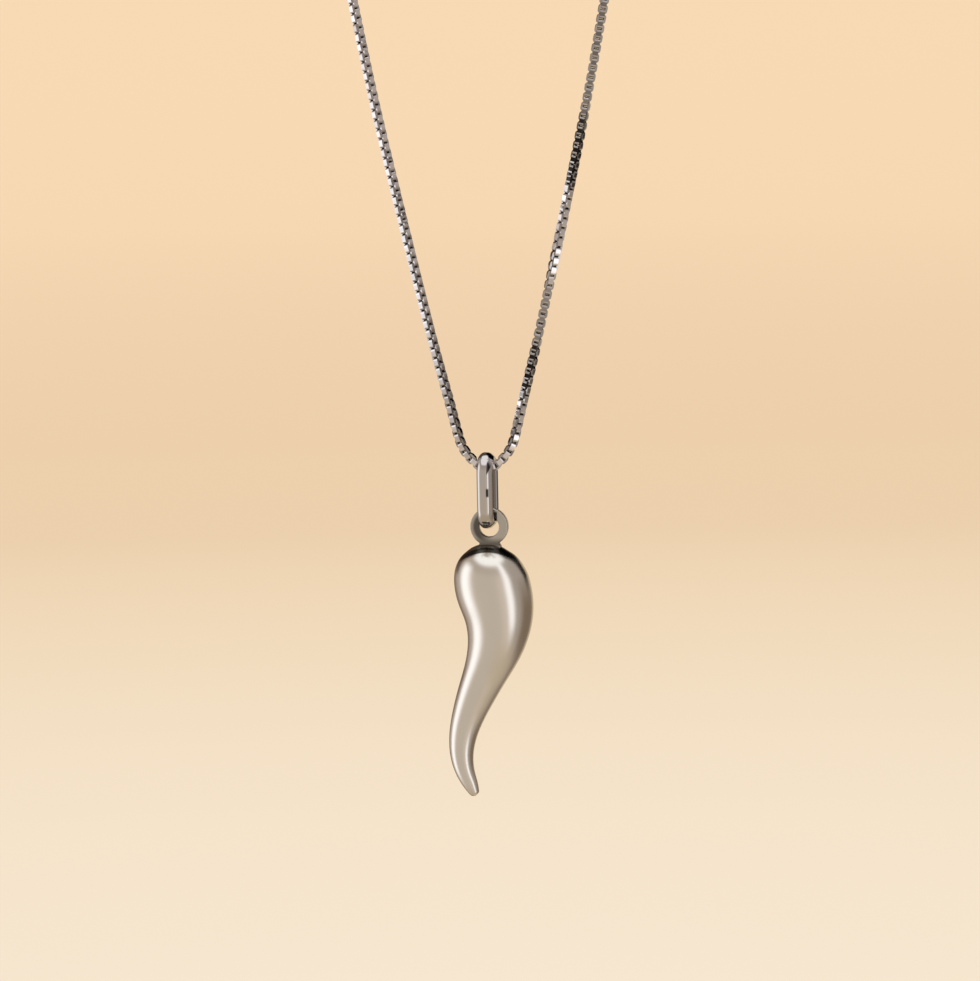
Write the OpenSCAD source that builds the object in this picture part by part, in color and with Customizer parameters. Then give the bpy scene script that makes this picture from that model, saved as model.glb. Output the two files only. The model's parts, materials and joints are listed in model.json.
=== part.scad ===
// Horn charm on a fine box chain: a necklace as it hangs, seen from the front along +Y.
// The origin is where the top of the loop bears on the nape, and +Z is up.

/* [Chain] */
// Width of the square chain
chain_w = 0.9; // [0.7:0.05:0.95]
// Depth of the chain's low point below the crown of the bail
crown_gap = 0.7; // [0.65:0.01:0.75]

/* [Clasp] */
// Radius of the clasp's ring, to the middle of its tube
clasp_r = 2.1; // [2:0.05:2.2]
// Thickness of the clasp's round tube
clasp_tube = 1; // [0.8:0.05:1]
// Thickness of the wire of the clasp's small eye
clasp_eye_wire = 0.44; // [0.36:0.02:0.5]
// Diameter of the thumb knob
knob_d = 0.66; // [0.5:0.02:0.8]
// Height of the thumb knob above the tube
knob_h = 0.5; // [0.3:0.05:0.7]
// Radius of each end ring, to the middle of its wire
end_ring_r = 1.3; // [1.25:0.01:1.35]
// Thickness of an end ring's wire
end_ring_wire = 0.5; // [0.4:0.02:0.52]

/* [Bail] */
// Outer length of the bail
bail_length = 7.65; // [7.2:0.05:9]
// Outer depth of the bail, front to back
bail_depth = 4.4; // [4.2:0.05:4.8]
// Width of the bail's wire, as seen from the front
bail_wire_w = 1.62; // [1.2:0.02:1.7]
// Thickness of the bail's wire
bail_wire_t = 0.92; // [0.8:0.02:0.94]

/* [Eye] */
// Diameter of the flat eye on the horn's crown
eye_d = 3.8; // [3.6:0.05:4]
// Diameter of the hole in the eye
eye_hole_d = 2.04; // [2:0.01:2.1]
// Thickness of the eye
eye_t = 0.9; // [0.7:0.05:0.95]
// Width of the neck below the eye
neck_w = 2.3; // [1.8:0.05:2.6]
// Height of the hole's centre above the crown
eye_rise = 2.15; // [2.1:0.05:2.4]
// Height of the bail's wire above the middle of the hole that it hangs in
eye_sag = 0.25; // [0.2:0.01:0.28]

/* [Horn] */
// Length of the horn from crown to tip
horn_length = 25.1; // [20:0.1:28]
// Sideways place of the horn at which it hangs level from its eye
horn_shift = -0.03; // [-0.3:0.01:0.3]

/* [Hidden] */
$fn = 48;

// Clear space between pieces that hang in each other
gap = 0.1;
// Clear space between the chain and the wire of its end ring
end_gap = 0.15;
// How far soldered pieces run into each other
solder = 0.15;

// Right half of the chain's route, from its low point up and round to the clasp: [x, z]
ROUTE = [
    [0, -204], [0.6, -203.87], [1.2, -203.4], [1.75, -202.85], [2.25, -202.2], [2.65, -201.4],
    [3, -200.2], [3.3, -199], [3.8, -197], [5.1, -192], [6.3, -187], [8.6, -177], [10.8, -167],
    [12.75, -157], [14.6, -147], [16.3, -137], [18, -127], [19.5, -117], [21, -107], [22.4, -97],
    [23.7, -87], [25, -77], [26.2, -67], [27.4, -57], [28.4, -48], [29.4, -39], [30.1, -31],
    [30.1, -27.3], [29.5, -23.1], [28.4, -19.1], [26.7, -15.2], [24.4, -11.6], [21.7, -8.4],
    [18.6, -5.6], [15.1, -3.2], [11.3, -1.4], [7.8, -0.2], [5.4, 0.3]
];
CHAIN_SIDES = 8;

// Sections of the horn at its standard length: [depth below the crown, shift right, radius]
DOWN = 0;
SHIFT = 1;
RADIUS = 2;
HORN = [
    [-0.38, -0.15, 0], [-0.29, -0.15, 0.9], [-0.14, -0.15, 1.3], [0.03, -0.15, 1.65],
    [0.27, -0.14, 1.98], [0.85, -0.07, 2.75], [1.65, 0, 3.3], [2.65, 0.09, 3.65],
    [3.9, 0.32, 3.79], [5.4, 0.71, 3.71], [6.9, 0.89, 3.48], [8.4, 0.8, 3.17], [9.9, 0.48, 2.83], [11.4, -0.05, 2.48],
    [12.9, -0.7, 2.18], [14.9, -1.6, 1.91], [16.9, -2.4, 1.64], [18.9, -2.98, 1.4],
    [20.9, -3.15, 1.18], [22.6, -2.84, 0.96], [23.9, -2.28, 0.75], [24.7, -1.93, 0.52],
    [25, -1.82, 0.34], [25.1, -1.8, 0]
];
HORN_SIDES = 36;
// Sections made between two rows of the table
HORN_STEPS = 3;
// Depth over which the sections turn from level to square across the horn
level_depth = 4;

// Heights along the middle, from the chain's low point down
low_z = ROUTE[0].y;
bail_z = low_z + crown_gap + bail_wire_t - bail_length / 2;
wire_z = bail_z - bail_length / 2 + bail_wire_t / 2;
eye_z = wire_z - eye_sag;
crown_z = eye_z - eye_rise;

// The bail's two bends and the straight legs between them
bend_r = (bail_depth - bail_wire_t) / 2;
leg = bail_length - bail_depth;
WIRE_POINTS = 28;

// Flare of the neck into the crown
flare_r = 0.5;
flare_drop = 0.1;
neck_sink = 0.9;

// The clasp lies level, with its underside at the origin, and spans the chain's two ends
clasp_z = clasp_tube / 2;
end_ring_x = ROUTE[len(ROUTE) - 1].x - end_gap - end_ring_wire / 2 - end_ring_r;
end_ring_hole_r = end_ring_r - end_ring_wire / 2;
clasp_x = end_ring_x - (end_ring_hole_r - clasp_tube / 2 - gap) - clasp_r;
clasp_eye_x = end_ring_r - end_ring_x + gap;
clasp_eye_r = clasp_x - clasp_r - clasp_tube / 2 + solder - clasp_eye_x - clasp_eye_wire / 2;
knob_angle = 60;

// A row between rows[i] and the next one, on a smooth curve through them all
function between(rows, i, t) =
    let (
        last = len(rows) - 1,
        b = rows[i],
        c = rows[i + 1],
        a = i > 0 ? rows[i - 1] : 2 * b - c,
        d = i + 2 <= last ? rows[i + 2] : 2 * c - b
    )
    (2 * b + (c - a) * t + (2 * a - 5 * b + 4 * c - d) * t * t
        + (3 * b - a - 3 * c + d) * t * t * t) / 2;

// A ring of points about [x, z], in a plane that leans up to the right by this angle
function ring(middle, lean, radius, sides, turn = 0) = [
    for (k = [0:sides - 1])
        let (a = turn + 360 * k / sides)
        [
            middle.x + radius * cos(a) * cos(lean),
            radius * sin(a),
            middle.y + radius * cos(a) * sin(lean)
        ]
];

// A solid through rings that have the same number of points, closed by a fan at each end
module sweep(start, rings, end) {
    sides = len(rings[0]);
    last = len(rings) - 1;
    points = concat([start], [for (r = rings) each r], [end]);
    faces = concat(
        [for (k = [0:sides - 1]) [0, 1 + (k + 1) % sides, 1 + k]],
        [
            for (i = [0:last - 1], k = [0:sides - 1])
                let (low = 1 + i * sides, next = (k + 1) % sides)
                each [
                    [low + k, low + next, low + sides + next],
                    [low + k, low + sides + next, low + sides + k]
                ]
        ],
        [
            for (k = [0:sides - 1])
                let (low = 1 + last * sides)
                [low + k, low + (k + 1) % sides, len(points) - 1]
        ]
    );
    polyhedron(points, faces, convexity = 4);
}

// The whole loop but for the clasp, from its left end down and up to its right end
module chain() {
    count = len(ROUTE);
    path = concat(
        [for (i = [count - 1:-1:1]) [-ROUTE[i].x, ROUTE[i].y]],
        ROUTE
    );
    last = len(path) - 1;
    corner_r = chain_w / 2 / cos(180 / CHAIN_SIDES);
    rings = [
        for (i = [0:last])
            let (way = path[min(i + 1, last)] - path[max(i - 1, 0)])
            ring(path[i], atan2(way.y, way.x) + 90, corner_r, CHAIN_SIDES, 180 / CHAIN_SIDES)
    ];
    color("silver")
        sweep([path[0].x, 0, path[0].y], rings, [path[last].x, 0, path[last].y]);
}

module round_ring(radius, wire) {
    rotate_extrude() translate([radius, 0]) circle(d = wire);
}

// The clasp: a closed tube ring with its small eye and the knob that the thumb moves
module clasp() {
    color("gainsboro") {
        translate([clasp_x, 0, clasp_z]) {
            round_ring(clasp_r, clasp_tube);
            rotate([0, 0, knob_angle]) translate([clasp_r, 0, 0]) {
                cylinder(d = knob_d, h = clasp_tube / 2 + knob_h - knob_d / 2);
                translate([0, 0, clasp_tube / 2 + knob_h - knob_d / 2]) sphere(d = knob_d);
            }
        }
        translate([clasp_eye_x, 0, clasp_z]) round_ring(clasp_eye_r, clasp_eye_wire);
    }
}

module end_ring(side) {
    color("gainsboro")
        translate([side * end_ring_x, 0, clasp_z])
            rotate([90, 0, 0]) round_ring(end_ring_r, end_ring_wire);
}

// Section of the bail's wire, its thickness along X and its width along Y
module bail_section() {
    polygon([
        for (k = [0:WIRE_POINTS - 1])
            let (a = 360 * k / WIRE_POINTS)
            [bail_wire_t / 2 * cos(a), bail_wire_w / 2 * sin(a)]
    ]);
}

// The bail: a long ring that stands front to back, a bend at each end of two straight legs
module bail() {
    color("lightgray")
        translate([0, 0, bail_z]) {
            for (half = [0, 1])
                mirror([0, 0, half]) translate([0, 0, leg / 2])
                    rotate([90, 0, 90]) rotate_extrude(angle = 180)
                        translate([bend_r, 0]) bail_section();
            for (side = [-1, 1])
                translate([0, side * bend_r, -leg / 2])
                    linear_extrude(leg) rotate(90) bail_section();
        }
}

// Outline of the eye about its hole's centre, with the neck that runs into the crown
module eye_outline() {
    floor_y = -eye_rise - flare_drop;
    circle(d = eye_d);
    translate([-neck_w / 2, -eye_rise - neck_sink]) square([neck_w, eye_rise + neck_sink]);
    for (side = [-1, 1])
        difference() {
            translate([side * (neck_w + flare_r) / 2, floor_y])
                square([flare_r, 2 * flare_r], center = true);
            translate([side * (neck_w / 2 + flare_r), floor_y + flare_r]) circle(flare_r);
        }
}

module horn_body() {
    scale_by = horn_length / HORN[len(HORN) - 1][DOWN];
    spans = len(HORN) - 1;
    // Sections between the two end points, each a row like the table's
    rows = [
        for (i = [0:spans - 1], k = [0:HORN_STEPS - 1])
            if (i + k > 0) scale_by * between(HORN, i, k / HORN_STEPS)
    ];
    last = len(rows) - 1;
    rings = [
        for (i = [0:last])
            let (
                way = rows[min(i + 1, last)] - rows[max(i - 1, 0)],
                depth = min(1, rows[i][DOWN] / level_depth),
                share = depth * depth * (3 - 2 * depth),
                lean = atan2(way[SHIFT], way[DOWN]) * share
            )
            ring([rows[i][SHIFT], crown_z - rows[i][DOWN]], lean, rows[i][RADIUS], HORN_SIDES)
    ];
    crown = scale_by * HORN[0];
    tip = scale_by * HORN[spans];
    sweep(
        [crown[SHIFT], 0, crown_z - crown[DOWN]],
        rings,
        [tip[SHIFT], 0, crown_z - tip[DOWN]]
    );
}

// The horn with the flat eye that is soldered on its crown
module horn() {
    color("silver") {
        translate([horn_shift, 0, 0]) horn_body();
        translate([0, 0, eye_z])
            rotate([90, 0, 0])
                linear_extrude(eye_t, center = true)
                    difference() {
                        eye_outline();
                        circle(d = eye_hole_d);
                    }
    }
}

chain();
clasp();
end_ring(-1);  // end_ring_left
end_ring(1);  // end_ring_right
bail();
horn();
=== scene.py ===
import json
from random import Random
from math import atan2, cos, degrees, hypot, pi, radians, sin, tau

import bpy
from mathutils import Matrix, Vector


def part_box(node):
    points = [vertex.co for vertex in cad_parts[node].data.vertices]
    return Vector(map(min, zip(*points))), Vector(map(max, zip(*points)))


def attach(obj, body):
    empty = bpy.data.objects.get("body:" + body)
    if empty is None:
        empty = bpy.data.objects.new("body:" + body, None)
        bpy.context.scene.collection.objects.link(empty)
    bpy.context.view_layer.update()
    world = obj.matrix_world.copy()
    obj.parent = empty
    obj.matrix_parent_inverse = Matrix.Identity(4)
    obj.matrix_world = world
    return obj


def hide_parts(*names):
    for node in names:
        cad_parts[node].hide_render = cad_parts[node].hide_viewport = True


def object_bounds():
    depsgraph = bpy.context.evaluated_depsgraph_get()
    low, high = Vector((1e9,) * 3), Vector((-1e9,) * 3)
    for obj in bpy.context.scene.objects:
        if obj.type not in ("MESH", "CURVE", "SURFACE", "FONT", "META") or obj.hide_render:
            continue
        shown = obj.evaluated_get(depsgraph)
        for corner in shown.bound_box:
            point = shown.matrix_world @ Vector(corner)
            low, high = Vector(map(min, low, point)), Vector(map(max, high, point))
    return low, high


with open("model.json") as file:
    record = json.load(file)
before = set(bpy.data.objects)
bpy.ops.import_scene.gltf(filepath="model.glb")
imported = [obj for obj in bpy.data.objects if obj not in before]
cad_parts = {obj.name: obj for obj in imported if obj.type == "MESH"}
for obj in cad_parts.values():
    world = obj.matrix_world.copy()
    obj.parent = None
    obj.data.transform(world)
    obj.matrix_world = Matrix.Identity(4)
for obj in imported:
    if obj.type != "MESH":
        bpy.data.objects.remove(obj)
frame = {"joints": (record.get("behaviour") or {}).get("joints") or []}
cad_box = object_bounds()
scene = bpy.context.scene
MM = 0.001

# The camera: a long lens, a little to the right of the jewel and above it, with a slight roll.
# It is aimed from the point where the bail hangs on the chain, which the photograph shows
# near the middle of the frame.
PHOTO_SIDE = 981
PIXEL = 0.1 * MM
CAMERA_AWAY = 0.6
CAMERA_TURN = radians(10)
CAMERA_RISE = radians(5)
CAMERA_ROLL = radians(1.1)
LOW_POINT_LEFT = 2.6 * PIXEL
LOW_POINT_ABOVE = 22.1 * PIXEL

hangs_at = {joint["name"]: Vector(joint["pos_m"]) for joint in frame["joints"]}
low_point = hangs_at["bail_swing"]
to_camera = Vector((
    sin(CAMERA_TURN) * cos(CAMERA_RISE),
    -cos(CAMERA_TURN) * cos(CAMERA_RISE),
    sin(CAMERA_RISE),
))
level_right = Vector((cos(CAMERA_TURN), sin(CAMERA_TURN), 0))
level_up = to_camera.cross(level_right)
right = level_right * cos(CAMERA_ROLL) - level_up * sin(CAMERA_ROLL)
up = level_up * cos(CAMERA_ROLL) + level_right * sin(CAMERA_ROLL)
aim = low_point + LOW_POINT_LEFT * right - LOW_POINT_ABOVE * up

bpy.ops.object.camera_add()
camera = bpy.context.object
camera.name = "camera"
camera.matrix_world = Matrix.Translation(aim + CAMERA_AWAY * to_camera) @ Matrix((
    (right.x, up.x, to_camera.x, 0),
    (right.y, up.y, to_camera.y, 0),
    (right.z, up.z, to_camera.z, 0),
    (0, 0, 0, 1),
))
camera.data.lens = camera.data.sensor_width * CAMERA_AWAY / (PHOTO_SIDE * PIXEL)
scene.camera = camera
scene.view_settings.view_transform = "Standard"


# The studio: a pale floor that runs out level and turns up all round into a wall, so that the
# jewel has the same plain ground from every side. Its tint is painted light, mostly glowing, and
# a shade deeper far away than near by.
FLOOR_DROP = 25 * MM
FLOOR_RADIUS = 1.9
FLOOR_SIDES = 96
COVE_RADIUS = 0.5
COVE_STEPS = 8
WALL_TOP = 2.5
GROUND_REACH = FLOOR_RADIUS + COVE_RADIUS
# Distance from the middle as a share of the reach, and the colour there
GROUND_TINTS = [
    (0.0, (0.91, 0.80, 0.66, 1)),
    (0.09, (0.88, 0.755, 0.59, 1)),
    (0.17, (0.85, 0.695, 0.505, 1)),
    (0.23, (0.825, 0.64, 0.44, 1)),
    (0.32, (0.835, 0.638, 0.428, 1)),
    (1.0, (0.965, 0.747, 0.51, 1)),
]
# How much of what the camera sees of it takes the light, and the rest glows evenly
GROUND_MATT = 0.2


class Shade:
    """An output of a shader tree. Arithmetic on it adds Math nodes to the tree."""

    def __init__(self, tree, socket=None):
        self.tree = tree
        self.socket = socket

    def node(self, kind, settings, sockets, out=0):
        """Adds a node, makes its settings or a ramp's stops, then sets or links its sockets."""
        node = self.tree.nodes.new(kind)
        for name, value in settings.items():
            if name == "stops":
                ramp = node.color_ramp
                while len(ramp.elements) < len(value):
                    ramp.elements.new(0.5)
                for element, (position, colour) in zip(ramp.elements, value):
                    element.position = position
                    element.color = colour
            else:
                setattr(node, name, value)
        for name, value in sockets.items():
            if isinstance(value, Shade):
                self.tree.links.new(value.socket, node.inputs[name])
            else:
                node.inputs[name].default_value = value
        return Shade(self.tree, node.outputs[out] if len(node.outputs) else None)

    def maths(self, operation, first, second=0):
        return self.node("ShaderNodeMath", {"operation": operation}, {0: first, 1: second})

    def __add__(self, other):
        return self.maths("ADD", self, other)

    def __sub__(self, other):
        return self.maths("SUBTRACT", self, other)

    def __mul__(self, other):
        return self.maths("MULTIPLY", self, other)

    def __rsub__(self, other):
        return self.maths("SUBTRACT", other, self)

    __radd__ = __add__
    __rmul__ = __mul__

    def ease(self, start, end):
        """0 up to start and 1 past end, with a smooth rise between them."""
        return self.node(
            "ShaderNodeMapRange",
            {"interpolation_type": "SMOOTHSTEP"},
            {"Value": self, "From Min": start, "From Max": end},
        )

    def band(self, start, end, soft):
        """1 between start and end and 0 outside them, with soft edges."""
        return self.ease(start - soft, start + soft) * (1 - self.ease(end - soft, end + soft))

    def turned_to(self, colour, share):
        """This colour, turning to another one as share goes from 0 to 1."""
        return self.node("ShaderNodeMix", {"data_type": "RGBA"}, {0: share, 6: self, 7: colour}, 2)


def new_tree(owner):
    """The emptied shader tree of a new material or world, as a Shade."""
    owner.use_nodes = True
    owner.node_tree.nodes.clear()
    return Shade(owner.node_tree)


def edit_new():
    """Opens the primitive just added in edit mode, with all of it selected."""
    bpy.ops.object.mode_set(mode="EDIT")
    bpy.ops.mesh.select_all(action="SELECT")


def face_out():
    """Turns the faces of the mesh in edit mode outwards, and selects all of it."""
    bpy.ops.mesh.select_all(action="SELECT")
    bpy.ops.mesh.normals_make_consistent(inside=False)


def leave_edit(name):
    """Closes edit mode, puts the object's place into its mesh and names it."""
    bpy.ops.object.mode_set(mode="OBJECT")
    bpy.ops.object.transform_apply(location=True, rotation=True, scale=True)
    piece = bpy.context.object
    piece.name = name
    piece.data.name = name
    return piece


floor_z = cad_box[0].z - FLOOR_DROP
bpy.ops.mesh.primitive_circle_add(
    vertices=FLOOR_SIDES, radius=FLOOR_RADIUS, fill_type="NGON", location=(0, 0, floor_z)
)
edit_new()
bpy.ops.mesh.region_to_loop()
for step in range(COVE_STEPS):
    was = pi / 2 * step / COVE_STEPS
    now = pi / 2 * (step + 1) / COVE_STEPS
    rise = COVE_RADIUS * (cos(was) - cos(now))
    spread = (FLOOR_RADIUS + COVE_RADIUS * sin(now)) / (FLOOR_RADIUS + COVE_RADIUS * sin(was))
    bpy.ops.mesh.extrude_edges_move(TRANSFORM_OT_translate={"value": (0, 0, rise)})
    bpy.ops.transform.resize(value=(spread, spread, 1), center_override=(0, 0, floor_z))
bpy.ops.mesh.extrude_edges_move(TRANSFORM_OT_translate={"value": (0, 0, WALL_TOP)})
ground = leave_edit("ground")
bpy.ops.object.shade_smooth()
ground.visible_glossy = False

ground_paint = bpy.data.materials.new("beige_ground")
shade = new_tree(ground_paint)
place = shade.node("ShaderNodeTexCoord", {}, {}, "Object")
flat = shade.node("ShaderNodeVectorMath", {"operation": "MULTIPLY"}, {0: place, 1: (1, 1, 0)})
away = shade.node("ShaderNodeVectorMath", {"operation": "LENGTH"}, {0: flat}, "Value")
tint = shade.node("ShaderNodeValToRGB", {"stops": GROUND_TINTS}, {"Fac": away * (1 / GROUND_REACH)})
matt = shade.node("ShaderNodeBsdfDiffuse", {}, {"Color": tint})
glow = shade.node("ShaderNodeEmission", {}, {"Color": tint})
seen = shade.node("ShaderNodeLightPath", {}, {}, "Is Camera Ray")
paint = shade.node("ShaderNodeMixShader", {}, {0: 1 - GROUND_MATT * seen, 1: matt, 2: glow})
shade.node("ShaderNodeOutputMaterial", {}, {"Surface": paint})
ground.data.materials.append(ground_paint)

# The light: a tent of soft warm grey round the jewel. A wide white box lies overhead, a tall one
# stands to the right of the camera and a broad one to the left, and high up behind the jewel the
# tent is open and dark. Angles are as seen from the jewel: 0 is towards the camera, to the right
# is more, and the rise is from the horizon.
TENT_FRONT = (0.58, 0.505, 0.42, 1)
TENT_HIGH = (0.48, 0.405, 0.335, 1)
TENT_BESIDE = (0.66, 0.565, 0.475, 1)
TENT_RIGHT = (0.41, 0.355, 0.305, 1)
TENT_LOW_RIGHT = (0.22, 0.16, 0.11, 1)
TENT_BELOW = (0.54, 0.44, 0.315, 1)
TENT_REAR = (0.62, 0.49, 0.32, 1)
TENT_LEFT = (0.5, 0.42, 0.36, 1)
TENT_REAR_LEFT = (0.25, 0.19, 0.14, 1)
REAR_SHADE = (0.11, 0.074, 0.05, 1)
DARK = (0.002, 0.002, 0.002, 1)
OVERHEAD_BOX = (1.1, 1.09, 1.06, 1)
RIGHT_BOX = (1.24, 1.21, 1.19, 1)
LEFT_BOX = (1.27, 1.25, 1.23, 1)

studio = bpy.data.worlds.new("studio")
scene.world = studio
shade = new_tree(studio)
way = shade.node("ShaderNodeTexCoord", {}, {}, "Generated")
level_way = Vector((to_camera.x, to_camera.y, 0)).normalized()
towards, rightwards, height = (
    shade.node("ShaderNodeVectorMath", {"operation": "DOT_PRODUCT"}, {0: way, 1: axis[:]}, "Value")
    for axis in (level_way, level_right, Vector((0, 0, 1)))
)
turn = shade.maths("ARCTAN2", rightwards, towards) * degrees(1)
rise = shade.maths("ARCSINE", height) * degrees(1)
off_front = shade.maths("ABSOLUTE", turn)
beside = 1 - turn.band(-60, 12, 12)
tent = shade.node(
    "ShaderNodeMix", {"data_type": "RGBA"}, {0: beside, 6: TENT_FRONT, 7: TENT_BESIDE}, 2
)
low_right = turn.band(86, 146, 13) * rise.ease(-50, -28) * (1 - rise.ease(-8, 21))
left_box = turn.ease(-118, -98) * (1 - turn.ease(-86, -58))
left_box = left_box * rise.ease(-40, -26) * (1 - rise.ease(25, 46))
# Each part of the tent and how much of it shows, the later ones in front of the earlier ones
for colour, shown in (
    (TENT_HIGH, rise.ease(16, 43) * (1 - turn.ease(60, 75))),
    (TENT_RIGHT, turn.ease(50, 66)),
    (TENT_BELOW, 1 - rise.ease(-50, -30)),
    (TENT_LOW_RIGHT, low_right),
    (TENT_LEFT, 1 - turn.ease(-120, -104)),
    (TENT_REAR_LEFT, 1 - turn.ease(-150, -128)),
    (REAR_SHADE, (1 - turn.ease(-131, -124)) * rise.ease(-1, 7)),
    (DARK, turn.ease(117, 126) * rise.ease(1, 9)),
    (TENT_REAR, turn.ease(145, 151) * (1 - rise.ease(7, 18))),
    (RIGHT_BOX, turn.band(37, 57, 7) * rise.ease(-38, -22)),
    (LEFT_BOX, left_box),
    (OVERHEAD_BOX, (rise - 6 * off_front.ease(20, 90)).ease(46, 58)),
):
    tent = tent.turned_to(colour, shown)
light = shade.node("ShaderNodeBackground", {}, {"Color": tent})
shade.node("ShaderNodeOutputWorld", {}, {"Surface": light})

FILL_ABOVE = 0.8
FILL_SIZE = 0.8
FILL_ENERGY = 2
bpy.ops.object.light_add(type="AREA", location=low_point + Vector((0, 0, FILL_ABOVE)))
fill = bpy.context.object
fill.name = "overhead_fill"
fill.data.size = FILL_SIZE
fill.data.energy = FILL_ENERGY
fill.visible_glossy = False
fill.visible_camera = False


# The chain: fine box chain. Each link is a short strip of silver bent into a box with rounded
# corners and soldered, and each stands across the two that run through it. A longer link at
# each end holds the jump ring. Painted shade darkens the links' insides, rims and bends, and in
# some stretches the links are painted grey and black as painted dark reflections.
SILVER = (0.86, 0.835, 0.80)


class Metal(Shade):
    """The shader tree of one silver finish, read in millimetres of its piece."""

    def __init__(self, name):
        self.finish = bpy.data.materials.new(name)
        super().__init__(new_tree(self.finish).tree)
        place = self.node("ShaderNodeTexCoord", {}, {}, "Object")
        self.place = self.node(
            "ShaderNodeVectorMath", {"operation": "SCALE"}, {0: place, "Scale": 1 / MM}
        )

    def noise(self, scale, detail, stretch=(1, 1, 1), tilt=(0, 0, 0)):
        """Soft random variation, so many to a millimetre, stretched along the lines of a tool."""
        spot = self.node(
            "ShaderNodeMapping", {}, {"Vector": self.place, "Rotation": tilt, "Scale": stretch}
        )
        return self.node(
            "ShaderNodeTexNoise", {}, {"Vector": spot, "Scale": scale, "Detail": detail}, "Fac"
        )

    def tone(self, share, deep, light=(1, 1, 1)):
        """Silver from a deeper tone to a lighter one as share goes from 0 to 1."""
        low, high = (
            tuple(min(1, part * whole) for part, whole in zip(shade, SILVER)) + (1,)
            for shade in (deep, light)
        )
        return self.node("ShaderNodeMix", {"data_type": "RGBA"}, {0: share, 6: low, 7: high}, 2)

    def off_from(self, point):
        """How far to the right of a point, behind it and above it, in mm."""
        middle = tuple(point / MM)
        off = self.node("ShaderNodeVectorMath", {"operation": "SUBTRACT"}, {0: self.place, 1: middle})
        return [self.node("ShaderNodeSeparateXYZ", {}, {"Vector": off}, axis) for axis in "XYZ"]

    def bump(self, height, depth, under=None):
        """The surface lifted by height times a depth in metres."""
        sockets = {"Strength": 1, "Distance": depth, "Height": height}
        if under is not None:
            sockets["Normal"] = under
        return self.node("ShaderNodeBump", {}, sockets)

    def metal(self, tone, haze, normal):
        """Ends the tree in a metal with these inputs."""
        body = self.node(
            "ShaderNodeBsdfPrincipled",
            {},
            {"Base Color": tone, "Metallic": 1, "Roughness": haze, "Normal": normal},
        )
        self.node("ShaderNodeOutputMaterial", {}, {"Surface": body})
        return self.finish


def chain_silver():
    """Links tumbled bright, each a little different, with painted shade inside them and painted dark
    reflections in some stretches.
    """
    silver = Metal("chain_silver")
    polish, inside, dull = (
        silver.node("ShaderNodeAttribute", {"attribute_name": name}, {}, "Fac")
        for name in ("polish", "inside", "dull")
    )
    smudge = silver.noise(3, 2)
    # Painted shade darkens the links inside, and painted dark reflections darken some stretches
    bright = (0.9 + 0.2 * polish + 0.3 * (smudge - 0.5)) * (1 - 0.96 * inside) * (1 - dull)
    haze = 0.07 + 0.05 * polish + 0.25 * inside
    tone = silver.tone(bright, (0.02, 0.019, 0.018), (1.08, 1.08, 1.16))
    return silver.metal(tone, haze, silver.bump(silver.noise(9, 1), 0.6e-6))


LINK_LONG = 0.93 * MM
LINK_WIDE = 0.9 * MM
STRIP_BROAD = 0.5 * MM
STRIP_THICK = 0.22 * MM
LINK_CORNER = 0.26 * MM
END_LINK_LONG = 1.19 * MM
END_LINK_THICK = 0.17 * MM
END_LINK_OUT = 0.225 * MM
FIRST_LINK_IN = 0.445 * MM
LINK_CORNER_STEPS = 3
# Edges turned by less than this are shaded smooth, and sharper ones are kept or softened
CREASE = radians(50)
# A link's two plates face square to its sides. Next comes how much painted shade blackens its
# rims and bends, and how far they take on the painted dark reflection of its stretch. A bend is
# painted all black where it faces along the chain, and clears where it turns to a plate.
PLATE_FACING = 0.99
RIM_PAINTED_SHADE = 0.28
RIM_PAINTED_DARK = 0.9
BEND_PAINTED_SHADE = 1.9
BEND_CLEARS = 2.2
BEND_PAINTED_DARK = 0.4
LINK_PITCH = LINK_LONG - 2 * STRIP_THICK
LINK_PLAY = radians(3.2)
ROUTE_STEPS = 24
STEP_SLACK = 1e-4

# Right half of its route, from the low point up and round to the clasp: right and up, in mm
CHAIN_HALF = [
    (0, -204), (0.6, -203.87), (1.2, -203.4), (1.75, -202.85), (2.25, -202.2), (2.65, -201.4),
    (3, -200.2), (3.3, -199), (3.8, -197), (5.1, -192), (6.3, -187), (8.6, -177), (10.8, -167),
    (12.75, -157), (14.6, -147), (16.3, -137), (18, -127), (19.5, -117), (21, -107), (22.4, -97),
    (23.7, -87), (25, -77), (26.2, -67), (27.4, -57), (28.4, -48), (29.4, -39), (30.1, -31),
    (30.1, -27.3), (29.5, -23.1), (28.4, -19.1), (26.7, -15.2), (24.4, -11.6), (21.7, -8.4),
    (18.6, -5.6), (15.1, -3.2), (11.3, -1.4), (7.8, -0.2), (5.4, 0.3),
]
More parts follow.
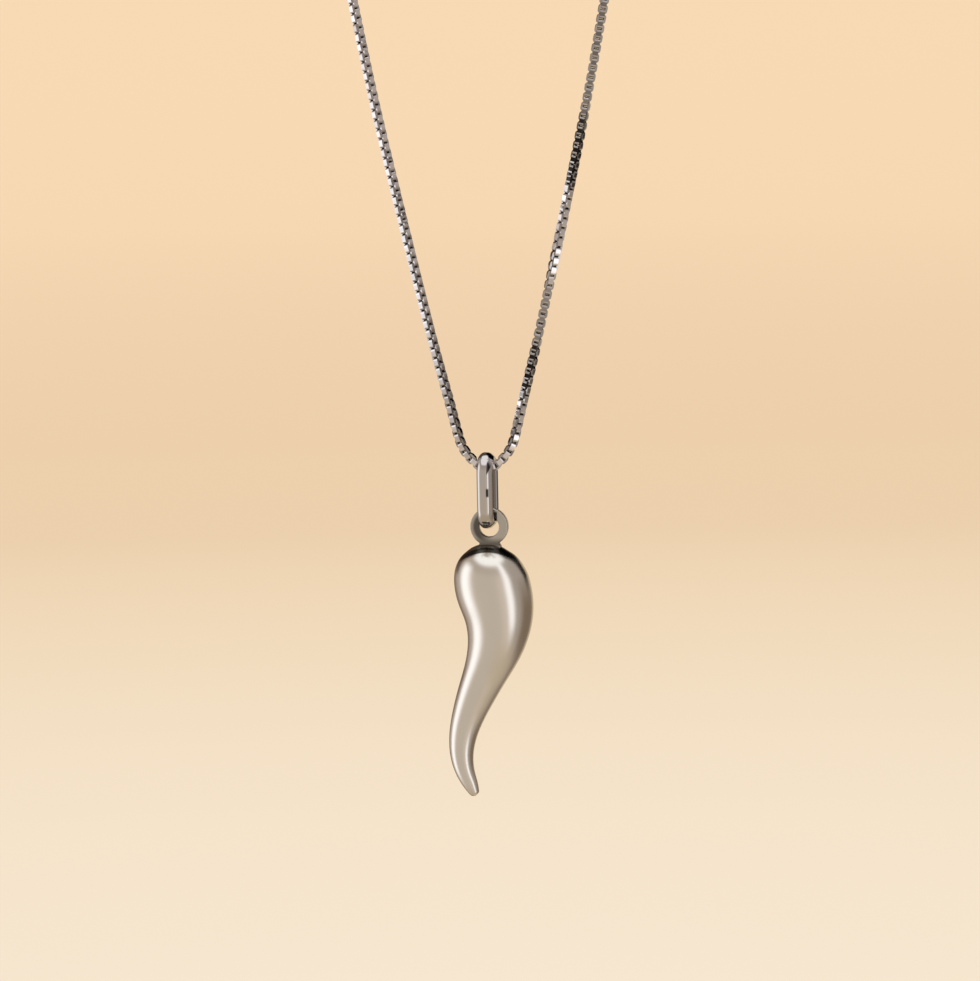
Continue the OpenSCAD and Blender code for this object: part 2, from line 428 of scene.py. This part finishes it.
# The strands from the top down: height in mm, the twist in degrees, and how dark the links are
# painted as painted dark reflections, first those that lie across the twist and then those along it
LEFT_STRAND = [
    (-15, 0, 0.1, 0.1), (-40, 10, 0.1, 0.1), (-100, 30, 0.1, 0.1), (-157.2, 49, 0.15, 0),
    (-167.2, 50, 0.15, 0), (-177.2, 52, 0.25, 0), (-187.2, 58, 0.35, 0.1), (-191.2, 62, 0.38, 0.4),
    (-197.2, 66, 0.4, 0.6), (-200.2, 70, 0.35, 0.6), (-202.2, 76, 0.2, 0.5), (-204, 90, 0, 0),
]
RIGHT_STRAND = [
    (-15, -180, 0.1, 0.1), (-40, -160, 0.1, 0), (-100, -130, 0.3, 0.2), (-157.2, -107, 0.75, 0.3),
    (-164.2, -100, 0.75, 0.3), (-168.2, -88, 0.6, 0.4), (-169.2, -84, 0.97, 0.8),
    (-173.2, -67, 1, 0.95), (-175.7, -57, 0.97, 0.8), (-176.4, -53, 0, 0),
    (-180.7, -42, 0.1, 0), (-184.2, -27, 0.2, 0), (-185.7, -17, 0.3, 0.5),
    (-191.2, 4, 0.4, 0.65), (-191.8, 8, 0.6, 0.98), (-194.2, 20, 0.6, 1), (-196.2, 32, 0.3, 1),
    (-197.4, 37, 0, 0), (-199, 45, 0, 0.1), (-200, 50, 0.1, 0.75), (-201.7, 62, 0, 0.7),
    (-203.2, 85, 0, 0.3), (-204, 90, 0, 0),
]


def between(rows, i, t):
    """A row between rows[i] and the next one, on a smooth curve through them all."""
    b, c = Vector(rows[i]), Vector(rows[i + 1])
    a = Vector(rows[i - 1]) if i > 0 else 2 * b - c
    d = Vector(rows[i + 2]) if i + 2 < len(rows) else 2 * c - b
    return (
        2 * b + (c - a) * t + (2 * a - 5 * b + 4 * c - d) * t * t
        + (3 * b - a - 3 * c + d) * t * t * t
    ) / 2


def box_link(name, long, thick):
    """A link about the origin, its length along Y and its opening along Z."""
    bpy.ops.mesh.primitive_plane_add(size=1)
    edit_new()
    bpy.ops.transform.resize(value=(LINK_WIDE, long, 1))
    bpy.ops.mesh.bevel(offset=LINK_CORNER, segments=LINK_CORNER_STEPS, affect="VERTICES")
    bpy.ops.mesh.select_all(action="SELECT")
    bpy.ops.mesh.delete(type="ONLY_FACE")
    bpy.ops.mesh.select_all(action="SELECT")
    bpy.ops.transform.translate(value=(0, 0, -STRIP_BROAD / 2))
    bpy.ops.mesh.extrude_edges_move(TRANSFORM_OT_translate={"value": (0, 0, STRIP_BROAD)})
    face_out()
    link = leave_edit(name)
    outer_points = len(link.data.vertices)
    strip = link.modifiers.new("strip", "SOLIDIFY")
    strip.thickness = thick
    strip.offset = -1
    strip.use_even_offset = True
    bpy.ops.object.modifier_apply(modifier="strip")
    flat_faces(link, CREASE)
    for mark in ("inside", "dull", "polish"):
        link.data.attributes.new(mark, "FLOAT", "CORNER")
    inside, dull = (link.data.attributes[mark].data for mark in ("inside", "dull"))
    # Each face gets its painted shade and its share of its stretch's painted dark reflection
    for face in link.data.polygons:
        outer = [link.data.vertices[v].co for v in face.vertices if v < outer_points]
        if len(outer) < len(face.vertices):
            painted_shade, dark_share = (RIM_PAINTED_SHADE, RIM_PAINTED_DARK) if outer else (1, 1)
        elif abs(face.normal.x) > PLATE_FACING:
            painted_shade, dark_share = 0, 1
        else:
            painted_shade = max(0, min(1, BEND_PAINTED_SHADE - BEND_CLEARS * abs(face.normal.x)))
            dark_share = BEND_PAINTED_DARK
        for loop in face.loop_indices:
            inside[loop].value = painted_shade
            dull[loop].value = dark_share
    return link


def flat_faces(piece, crease):
    """Shades a piece smooth over edges below an angle, with its large faces kept flat."""
    bpy.ops.object.shade_smooth_by_angle(angle=crease)
    finish = piece.modifiers.new("flat_faces", "WEIGHTED_NORMAL")
    finish.keep_sharp = True
    bpy.ops.object.modifier_apply(modifier="flat_faces")


def strand_at(spot):
    """The chain's twist and how dark its links of either lie are painted, at a place on its route."""
    rows = RIGHT_STRAND if spot.x > 0 else LEFT_STRAND
    if spot.y > rows[0][0]:
        return rows[0][1:]
    for above, below in zip(rows, rows[1:]):
        if spot.y > below[0]:
            break
    share = min(1, (above[0] - spot.y) / (above[0] - below[0]))
    return [high + (low - high) * share for high, low in zip(above[1:], below[1:])]


def lay_link(pattern, spot, way, lie):
    """A copy of a link at a place on the route, across the chain's twist or along it."""
    twist, *dull = strand_at(spot)
    turned = radians(twist) + (0 if lie else pi / 2)
    along = Vector((way.x, 0, way.y))
    wide = Vector((0, -1, 0)) * cos(turned) + Vector((-way.y, 0, way.x)) * sin(turned)
    link = pattern.copy()
    link.data = pattern.data.copy()
    scene.collection.objects.link(link)
    play = [Matrix.Rotation(chance.uniform(-LINK_PLAY, LINK_PLAY), 4, axis) for axis in "XYZ"]
    link.matrix_world = (
        Matrix.Translation(Vector((spot.x, 0, spot.y)) * MM)
        @ Matrix((wide, along, wide.cross(along))).transposed().to_4x4()
        @ play[0] @ play[1] @ play[2]
    )
    polish = chance.random()
    marks = link.data.attributes
    # Each face's share of painted dark reflection is scaled by that of its stretch
    for darkness, shine in zip(marks["dull"].data, marks["polish"].data):
        darkness.value *= dull[lie]
        shine.value = polish
    return link


def join_to(main, others):
    """Joins other pieces to a main one."""
    bpy.ops.object.select_all(action="DESELECT")
    for part in (main, *others):
        part.select_set(True)
    bpy.context.view_layer.objects.active = main
    bpy.ops.object.join()


chance = Random(7)
route = [(-x, z) for x, z in reversed(CHAIN_HALF[1:])] + CHAIN_HALF
route = [
    between(route, i, step / ROUTE_STEPS)
    for i in range(len(route) - 1)
    for step in range(ROUTE_STEPS)
] + [Vector(route[-1])]
steps = [(there - here).length for here, there in zip(route, route[1:])]
first_at = FIRST_LINK_IN / MM
span = sum(steps) - 2 * first_at
link_count = round(span / (LINK_PITCH / MM) / 2) * 2 + 1
pitch = span / (link_count - 1)

pattern = box_link("box_link", LINK_LONG, STRIP_THICK)
links = []
walked = 0
for here, there, step in zip(route, route[1:], steps):
    reach = walked + step + STEP_SLACK
    while len(links) < link_count and first_at + len(links) * pitch <= reach:
        spot = here.lerp(there, (first_at + len(links) * pitch - walked) / step)
        links.append(lay_link(pattern, spot, (there - here).normalized(), len(links) % 2))
    walked += step
bpy.data.objects.remove(pattern)
pattern = box_link("end_link", END_LINK_LONG, END_LINK_THICK)
for end, inner in ((route[0], route[1]), (route[-1], route[-2])):
    out = (end - inner).normalized()
    links.append(lay_link(pattern, end + out * END_LINK_OUT / MM, out, 1))
bpy.data.objects.remove(pattern)
join_to(links[0], links[1:])
bpy.ops.object.transform_apply(location=True, rotation=True, scale=True)
chain = bpy.context.object
chain.name = "box_chain"
chain.data.name = "box_chain"
chain.data.materials.append(chain_silver())
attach(chain, "chain")
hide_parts("chain")

# The jump rings: round wire turned up into a ring and closed end to end, one at each end of
# the chain. The clasp's eye hangs in the left one and its ring in the right one.
JUMP_WIRE = 0.5 * MM
JUMP_SIDES = 16
JUMP_STEPS = 56
JUMP_SEAM = radians(1.6)
JUMP_SEAM_AT = radians(200)


def wire_silver():
    """Drawn wire and tube, with faint lines, dulled a little where the rings rub."""
    silver = Metal("clasp_silver")
    rub = silver.noise(1.2, 3)
    lines = silver.noise(6, 2, (1, 1, 5))
    tone = silver.tone(0.55 + 0.9 * (rub - 0.25), (0.8, 0.77, 0.74))
    return silver.metal(tone, 0.09 + 0.1 * rub + 0.05 * (lines - 0.5), silver.bump(lines, 1.2e-6))


for side, node in ((-1, "end_ring_left"), (1, "end_ring_right")):
    ring_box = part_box(node)
    middle = (ring_box[0] + ring_box[1]) / 2
    radius = (ring_box[1].z - ring_box[0].z - JUMP_WIRE) / 2
    bpy.ops.mesh.primitive_circle_add(
        vertices=JUMP_SIDES,
        radius=JUMP_WIRE / 2,
        fill_type="NGON",
        location=middle + Vector((radius, 0, 0)),
    )
    edit_new()
    bpy.ops.mesh.spin(steps=JUMP_STEPS, angle=tau - JUMP_SEAM, center=middle, axis=(0, 1, 0))
    bpy.ops.mesh.select_all(action="SELECT")
    bpy.ops.transform.rotate(value=JUMP_SEAM_AT * side, orient_axis="Y", center_override=middle)
    face_out()
    ring = leave_edit("jump_ring_left" if side < 0 else "jump_ring_right")
    flat_faces(ring, CREASE)
    ring.data.materials.append(wire_silver())
    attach(ring, "chain")
    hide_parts(node)

# The clasp: a spring ring, a round tube whose gap is closed by a sprung wire inside it. Its
# thumb knob stands in a slot in the tube, and its small wire eye is soldered on at the back.
CLASP_TUBE = 1 * MM
CLASP_SIDES = 24
CLASP_STEPS = 60
GATE_FROM = radians(8)
GATE_TO = radians(42)
TONGUE_RADIUS = 0.33 * MM
TONGUE_SIDES = 16
TONGUE_STEPS = 10
TONGUE_HIDDEN = radians(3)
SLOT_FROM = radians(53)
SLOT_TO = radians(92)
SLOT_HALF_WIDE = 0.135 * MM
SLOT_DEEP = 0.16 * MM
CLASP_EDGE = 0.03 * MM
KNOB_ANGLE = radians(60)
KNOB_STEM = 0.12 * MM
KNOB_RADIUS = 0.33 * MM
KNOB_SIDES = 16
# The rings that the knob is drawn up through: share of its height, and radius
KNOB_RINGS = [
    (0.36, KNOB_STEM), (0.4, 0.9 * KNOB_RADIUS), (0.46, KNOB_RADIUS),
    (0.72, KNOB_RADIUS), (0.9, 0.8 * KNOB_RADIUS), (1, 0.35 * KNOB_RADIUS),
]
CLASP_EYE_WIRE = 0.44 * MM
CLASP_EYE_RADIUS = 0.78 * MM
CLASP_EYE_SIDES = 14
CLASP_EYE_STEPS = 32
WELD = 0.001 * MM

clasp_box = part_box("clasp")
clasp_radius = (clasp_box[1].y - clasp_box[0].y - CLASP_TUBE) / 2
clasp_middle = Vector((
    clasp_box[1].x - clasp_radius - CLASP_TUBE / 2,
    (clasp_box[0].y + clasp_box[1].y) / 2,
    clasp_box[0].z + CLASP_TUBE / 2,
))


def level_ring(name, middle, radius, wire, sides, steps, turn_from, turn_to):
    """A level ring or part of one, of round wire, between two angles from the right."""
    whole = turn_to - turn_from == tau
    bpy.ops.mesh.primitive_circle_add(
        vertices=sides,
        radius=wire / 2,
        fill_type="NOTHING" if whole else "NGON",
        location=middle + Vector((radius * cos(turn_from), radius * sin(turn_from), 0)),
        rotation=(pi / 2, 0, turn_from),
    )
    edit_new()
    bpy.ops.mesh.spin(steps=steps, angle=turn_from - turn_to, center=middle, axis=(0, 0, 1))
    bpy.ops.mesh.select_all(action="SELECT")
    bpy.ops.mesh.remove_doubles(threshold=WELD)
    face_out()
    return leave_edit(name)


clasp = level_ring(
    "ring_clasp", clasp_middle, clasp_radius, CLASP_TUBE, CLASP_SIDES, CLASP_STEPS,
    GATE_TO, GATE_FROM + tau,
)
bpy.ops.object.mode_set(mode="EDIT")
bpy.ops.mesh.select_mode(type="FACE")


def pick(piece, wanted):
    """Selects the vertices, edges or faces of the piece being edited whose middle is wanted."""
    mode = bpy.context.tool_settings.mesh_select_mode
    parts = piece.data.vertices if mode[0] else piece.data.edges if mode[1] else piece.data.polygons
    bpy.ops.mesh.select_all(action="DESELECT")
    bpy.ops.object.mode_set(mode="OBJECT")
    for part in parts:
        if mode[0]:
            spot = part.co
        elif mode[2]:
            spot = part.center
        else:
            spot = sum((piece.data.vertices[v].co for v in part.vertices), Vector()) / 2
        part.select = bool(wanted(piece.matrix_world @ spot))
    bpy.ops.object.mode_set(mode="EDIT")


def in_slot(spot):
    """Whether a face of the tube lies where the knob's slot is cut."""
    way = spot - clasp_middle
    turn = atan2(way.y, way.x)
    off = abs(hypot(way.x, way.y) - clasp_radius)
    return SLOT_FROM < turn < SLOT_TO and off < SLOT_HALF_WIDE and way.z > 0


pick(clasp, in_slot)
bpy.ops.mesh.extrude_region_move(TRANSFORM_OT_translate={"value": (0, 0, -SLOT_DEEP)})
bpy.ops.object.mode_set(mode="OBJECT")


def soft_edges(piece, width, steps):
    """Rounds off the sharp edges of a piece, for good."""
    finish = piece.modifiers.new("soft_edges", "BEVEL")
    finish.width = width
    finish.segments = steps
    finish.angle_limit = CREASE
    bpy.ops.object.modifier_apply(modifier="soft_edges")


soft_edges(clasp, CLASP_EDGE, 2)
flat_faces(clasp, CREASE)

tongue = level_ring(
    "tongue", clasp_middle, clasp_radius, 2 * TONGUE_RADIUS, TONGUE_SIDES, TONGUE_STEPS,
    GATE_FROM - TONGUE_HIDDEN, GATE_TO + TONGUE_HIDDEN,
)
bpy.ops.object.shade_smooth()
eye_middle = Vector((
    clasp_box[0].x + CLASP_EYE_RADIUS + CLASP_EYE_WIRE / 2, clasp_middle.y, clasp_middle.z
))
clasp_eye = level_ring(
    "clasp_eye", eye_middle, CLASP_EYE_RADIUS, CLASP_EYE_WIRE, CLASP_EYE_SIDES, CLASP_EYE_STEPS,
    0, tau,
)
bpy.ops.object.shade_smooth()


def rounded(piece, levels):
    """Smooths a piece by subdivision, for good."""
    finish = piece.modifiers.new("rounded", "SUBSURF")
    finish.levels = finish.render_levels = levels
    bpy.ops.object.modifier_apply(modifier="rounded")
    bpy.ops.object.shade_smooth()


knob_foot = clasp_middle + Vector((
    clasp_radius * cos(KNOB_ANGLE), clasp_radius * sin(KNOB_ANGLE), CLASP_TUBE / 2 - SLOT_DEEP
))
knob_high = clasp_box[1].z - knob_foot.z
bpy.ops.mesh.primitive_circle_add(vertices=KNOB_SIDES, radius=KNOB_STEM, location=knob_foot)
edit_new()
was_up, was_wide = 0, KNOB_STEM
for share, wide in KNOB_RINGS:
    up_to = share * knob_high
    bpy.ops.mesh.extrude_edges_move(TRANSFORM_OT_translate={"value": (0, 0, up_to - was_up)})
    bpy.ops.transform.resize(
        value=(wide / was_wide, wide / was_wide, 1),
        center_override=knob_foot + Vector((0, 0, up_to)),
    )
    was_up, was_wide = up_to, wide
bpy.ops.mesh.fill()
bpy.ops.mesh.poke()
face_out()
knob = leave_edit("knob")
rounded(knob, 1)

join_to(clasp, (tongue, clasp_eye, knob))
clasp.data.materials.append(wire_silver())
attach(clasp, "chain")
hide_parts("clasp")

# The bail: a long oval ring of rolled wire with a flat face, slanting sides and soft ridges,
# soldered shut. It stands front to back, with the chain through its upper bend and the horn's
# eye in its lower one.
BAIL_WIRE_THICK = 0.92 * MM
# Corners of the wire's section, to the right of its middle and away from the ring's hole, in mm
BAIL_CORNERS = [
    (0.26, 0.47), (0.88, -0.11), (0.5, -0.46), (-0.6, -0.46), (-0.9, -0.02), (-0.5, 0.46),
]
BAIL_RIDGE = 0.25 * MM
BAIL_RIDGE_STEPS = 6
BEND_STEPS = 16
LEG_STEPS = 4
# Colours of the painted dark reflections, of the painted shade on the rear leg and of the cooler
# painted reflection at the top
PAINTED_REFLECTION_BLACK = (0.02, 0.018, 0.016, 1)
PAINTED_LEG_SHADE = (0.17, 0.155, 0.15, 1)
PAINTED_COOL_TOP = (0.64, 0.63, 0.66, 1)
# Where the front leg has its painted dark reflections and the rear leg its painted shade, in mm from
# the bail's middle
STREAK_ALONG = (-0.5, 0.32)
STREAK_ACROSS = (0.18, 0.42)
WEDGE_ALONG = (1.75, 3)
WEDGE_LEFT = (0.2, 0.3)
WEDGE_RIGHT = (0.26, 0.38)
WEDGE_SLOPE = 0.45
WEDGE_FOOT = 1.8
FRONT_LEG = (-1.8, -1.4)
REAR_LEG = (0.6, 1.2)
LEG_SHADE_ACROSS = (0.1, 0.35)

bail_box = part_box("bail")
bail_middle = (bail_box[0] + bail_box[1]) / 2
bail_size = bail_box[1] - bail_box[0]
bend_radius = (bail_size.y - BAIL_WIRE_THICK) / 2
leg = bail_size.z - bail_size.y
bend_z = [bail_middle.z + side * leg / 2 for side in (1, -1)]


def bail_silver():
    """Polished by hand round the ring, with painted dark reflections in a streak and a wedge on the
    front leg, painted shade on the rear leg's side and a cooler painted reflection at the top.
    """
    silver = Metal("bail_silver")
    smudge = silver.noise(0.6, 3)
    lines = silver.noise(9, 3, (2.5, 0.3, 0.3))
    across, behind, along = silver.off_from(bail_middle)
    # Painted dark reflections: a streak and a wedge on the front leg
    painted_streak = along.band(*STREAK_ALONG, 0.12) * across.band(*STREAK_ACROSS, 0.05)
    wedge_side = across - WEDGE_SLOPE * (along - WEDGE_FOOT)
    painted_wedge = along.band(*WEDGE_ALONG, 0.15) * across.ease(*WEDGE_LEFT)
    painted_wedge = painted_wedge * (1 - wedge_side.ease(*WEDGE_RIGHT))
    marks = (painted_streak + painted_wedge) * (1 - behind.ease(*FRONT_LEG))
    # Painted shade on one side of the rear leg
    rear_leg_shade = across.ease(*LEG_SHADE_ACROSS) * behind.ease(*REAR_LEG)
    clean = silver.tone(0.5 + 0.9 * (smudge - 0.2), (0.68, 0.67, 0.67), (0.78, 0.77, 0.77))
    # A cooler painted reflection over the upper part of the ring
    clean = clean.turned_to(PAINTED_COOL_TOP, 0.7 * along.ease(-1.5, 1.8))
    clean = clean.turned_to(PAINTED_LEG_SHADE, 0.9 * rear_leg_shade)
    tone = clean.turned_to(PAINTED_REFLECTION_BLACK, 0.97 * marks)
    haze = 0.045 + 0.04 * smudge + 0.03 * (lines - 0.5)
    wave = silver.bump(silver.noise(0.7, 1), 1.5e-6)
    return silver.metal(tone, haze, silver.bump(lines, 0.25e-6, wave))


bpy.ops.mesh.primitive_circle_add(
    vertices=len(BAIL_CORNERS), radius=MM, fill_type="NGON", location=(0, -bend_radius, bend_z[1])
)
bail = bpy.context.object
for point, (across, out) in zip(bail.data.vertices, BAIL_CORNERS):
    point.co = (across * MM, -out * MM, 0)
edit_new()
bpy.ops.mesh.bevel(offset=BAIL_RIDGE, segments=BAIL_RIDGE_STEPS, affect="VERTICES")
bpy.ops.mesh.select_all(action="SELECT")
bpy.ops.mesh.delete(type="ONLY_FACE")
bpy.ops.mesh.select_all(action="SELECT")
for bend, up_or_down in ((bend_z[0], 1), (bend_z[1], -1)):
    for step in range(LEG_STEPS):
        bpy.ops.mesh.extrude_edges_move(
            TRANSFORM_OT_translate={"value": (0, 0, up_or_down * leg / LEG_STEPS)}
        )
    bpy.ops.mesh.spin(steps=BEND_STEPS, angle=pi, center=(0, 0, bend), axis=(1, 0, 0))
bpy.ops.mesh.select_all(action="SELECT")
bpy.ops.mesh.remove_doubles(threshold=WELD)
face_out()
bail = leave_edit("bail_ring")
bpy.ops.object.shade_smooth()
bail.data.materials.append(bail_silver())
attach(bail, "bail")
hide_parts("bail")

# The horn: cast solid and polished, an S-curve of round section that swells below its crown
# and tapers to a blunt tip. It is drawn out ring by ring from the crown down.
# Its sections: down from the neck's foot, to the right, and radius, in mm. The crown's middle
# rises above 0 into the neck.
HORN_SECTIONS = [
    (-0.38, -0.15, 0), (-0.36, -0.15, 0.45), (-0.29, -0.15, 0.9), (-0.14, -0.15, 1.3),
    (0.03, -0.15, 1.65), (0.27, -0.14, 1.98), (0.85, -0.07, 2.75),
    (1.65, 0, 3.3), (2.65, 0.09, 3.65), (3.9, 0.32, 3.79), (5.4, 0.71, 3.71),
    (6.9, 0.89, 3.48), (8.4, 0.8, 3.17), (9.9, 0.48, 2.83), (11.4, -0.05, 2.48),
    (12.9, -0.7, 2.18), (14.9, -1.6, 1.91), (16.9, -2.4, 1.64), (18.9, -2.98, 1.4),
    (20.9, -3.15, 1.18), (22.6, -2.84, 0.96), (23.9, -2.28, 0.75), (24.7, -1.93, 0.52),
    (25, -1.82, 0.34), (25.1, -1.8, 0),
]
DOWN = 0
SHIFT = 1
RADIUS = 2
HORN_SHIFT = -0.03
HORN_SIDES = 40
HORN_STEPS = 2
# The rings lie level at the crown, and square across the horn from this far down, in mm
LEVEL_DEPTH = 4


def swell(sides):
    """How much larger a ring with this many sides starts, as smoothing draws it in."""
    return 1 / (2 / 3 + cos(tau / sides) / 3)


horn_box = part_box("horn")
tip_z = horn_box[0].z
crown_z = tip_z + HORN_SECTIONS[-1][DOWN] * MM
rows = [
    between(HORN_SECTIONS, i, step / HORN_STEPS)
    for i in range(1, len(HORN_SECTIONS) - 2)
    for step in range(HORN_STEPS)
]


def horn_ring(i):
    """Middle, lean and radius of the horn's ring i."""
    before = rows[max(i - 1, 0)]
    after = rows[min(i + 1, len(rows) - 1)]
    level = min(1, rows[i][DOWN] / LEVEL_DEPTH)
    way = atan2(after[SHIFT] - before[SHIFT], after[DOWN] - before[DOWN])
    middle = Vector(((rows[i][SHIFT] + HORN_SHIFT) * MM, 0, crown_z - rows[i][DOWN] * MM))
    return middle, way * level * level * (3 - 2 * level), rows[i][RADIUS] * swell(HORN_SIDES) * MM


middle, lean, radius = horn_ring(0)
bpy.ops.mesh.primitive_circle_add(
    vertices=HORN_SIDES, radius=radius, fill_type="TRIFAN", location=middle
)
edit_new()
bpy.ops.mesh.region_to_loop()
for i in range(1, len(rows)):
    was, old_lean, old_radius = middle, lean, radius
    middle, lean, radius = horn_ring(i)
    grow = radius / old_radius
    bpy.ops.mesh.extrude_edges_move(TRANSFORM_OT_translate={"value": middle - was})
    bpy.ops.transform.resize(value=(grow, grow, grow), center_override=middle)
    bpy.ops.transform.rotate(value=lean - old_lean, orient_axis="Y", center_override=middle)
bpy.ops.mesh.extrude_edges_move(TRANSFORM_OT_translate={"value": (0, 0, tip_z - middle.z)})
bpy.ops.mesh.merge(type="CENTER")
face_out()
horn = leave_edit("horn")
rounded(horn, 2)

# The eye: a flat washer of silver with softened edges, for the bail to run through. It stands
# upright on the horn's crown, soldered on by its short neck, which flares out at the foot.
EYE_THICK = 0.9 * MM
EYE_RADIUS = 1.9 * MM
EYE_HOLE_RADIUS = 1.02 * MM
EYE_SHIFT = 0.1 * MM
EYE_BELOW_TOP = 1.9 * MM
NECK_WIDE = 2.1 * MM
NECK_FLARE = 1.22
NECK_FLARE_UP = 0.2 * MM
NECK_SINK = 0.9 * MM
EYE_SIDES = 48
EYE_EDGE = 0.1 * MM
EYE_EDGE_STEPS = 3
EYE_CREASE = radians(35)
# The washer's rim is what lies outside this share of its radius
EYE_RIM = 0.95
# How far the crown's black band, a painted dark reflection, drops, times the square of mm to either
# side
CROWN_ARCH = 0.115
# Colour of the painted shade and painted dark reflection, and of the eye's even darkening
SHADE_AND_DARK_TONE = (0.035, 0.028, 0.022, 1)
# Where painted shade darkens the eye beside the bail, in mm from the middle of its hole
BAIL_SHADE_ACROSS = (0.45, 0.86)
BAIL_SHADE_UP = (0.2, 1.5)
eye_middle = Vector((EYE_SHIFT, -EYE_THICK / 2, horn_box[1].z - EYE_BELOW_TOP))


def horn_silver():
    """Cast and wheel-polished to a soft gloss. The eye is darkened all over, with painted shade left
    of its hole, down its neck and beside the bail; a painted dark reflection arches over the crown.
    """
    silver = Metal("horn_silver")
    smudge = silver.noise(0.35, 4)
    lines = silver.noise(7, 3, (0.35, 0.35, 3))
    scuff = silver.noise(2.2, 5, (1, 1, 0.35), (0.3, 0.5, 0)).ease(0.6, 0.75)
    rightwards, _, upwards = silver.off_from(eye_middle)
    from_hole = silver.maths("SQRT", rightwards * rightwards + upwards * upwards)
    foot = (crown_z - eye_middle.z) / MM
    on_eye = upwards.ease(foot + 0.2, foot + 0.3)
    # Painted shade on the eye left of its hole and down its neck to the crease at its foot
    shade_left_of_hole = (1 - rightwards.ease(-1, 0.6)) * (1 - 0.8 * from_hole.ease(1.4, 1.75))
    neck_foot_shade = 1 - upwards.ease(foot + 0.4, foot + 1.2)
    # A painted dark reflection arching over the crown
    arch = upwards - foot + CROWN_ARCH * rightwards * rightwards
    crown_reflection_band = arch.ease(-0.38, -0.24) * (1 - 0.35 * arch.ease(0.06, 0.2))
    crown_reflection_band = crown_reflection_band * rightwards.band(-3, 2.6, 0.5) * (1 - on_eye)
    # Painted shade on the eye beside the bail's leg
    bail_shade = rightwards.band(*BAIL_SHADE_ACROSS, 0.06) * upwards.band(*BAIL_SHADE_UP, 0.12)
    # The eye is darkened all over and more by painted shade; the crown gets its painted dark
    # reflection
    shade_and_darkening = on_eye * (0.3 + 0.56 * shade_left_of_hole * (1 - neck_foot_shade) + 0.5 * neck_foot_shade)
    shade_and_darkening = shade_and_darkening + 0.67 * bail_shade
    shade_and_darkening = shade_and_darkening + 0.96 * crown_reflection_band
    clean = silver.tone(0.5 + 0.9 * (smudge - 0.2), (0.93, 0.92, 0.91))
    tone = clean.turned_to(SHADE_AND_DARK_TONE, shade_and_darkening)
    haze = 0.23 + 0.05 * (smudge - 0.5) + 0.04 * (lines - 0.5) + 0.04 * scuff
    wave = silver.bump(silver.noise(0.5, 1), 2.5e-6)
    return silver.metal(tone, haze, silver.bump(lines, 0.3e-6, wave))


bpy.ops.mesh.primitive_circle_add(
    vertices=EYE_SIDES, radius=EYE_RADIUS, location=eye_middle, rotation=(pi / 2, 0, 0)
)
edit_new()
hole = EYE_HOLE_RADIUS / EYE_RADIUS
bpy.ops.mesh.extrude_edges_move()
bpy.ops.transform.resize(value=(hole, hole, hole), center_override=eye_middle)
eye = bpy.context.object
bpy.ops.mesh.select_mode(type="EDGE")


def over_neck(spot):
    """Whether an edge of the washer lies on its rim above the neck."""
    way = spot - eye_middle
    return way.length > EYE_RIM * EYE_RADIUS and way.z < 0 and abs(way.x) < NECK_WIDE / 2


pick(eye, over_neck)
for level, wider in ((NECK_FLARE_UP, NECK_FLARE), (-NECK_SINK, 1)):
    bpy.ops.mesh.extrude_edges_move()
    bpy.ops.transform.resize(
        value=(wider, 1, 0), center_override=(EYE_SHIFT, 0, crown_z + level)
    )
bpy.ops.mesh.select_all(action="SELECT")
bpy.ops.mesh.extrude_region_move(TRANSFORM_OT_translate={"value": (0, EYE_THICK, 0)})
face_out()
eye = leave_edit("eye")
soft_edges(eye, EYE_EDGE, EYE_EDGE_STEPS)
flat_faces(eye, EYE_CREASE)
join_to(horn, (eye,))
horn.name = "horn_and_eye"
horn.data.materials.append(horn_silver())
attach(horn, "horn")
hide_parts("horn")
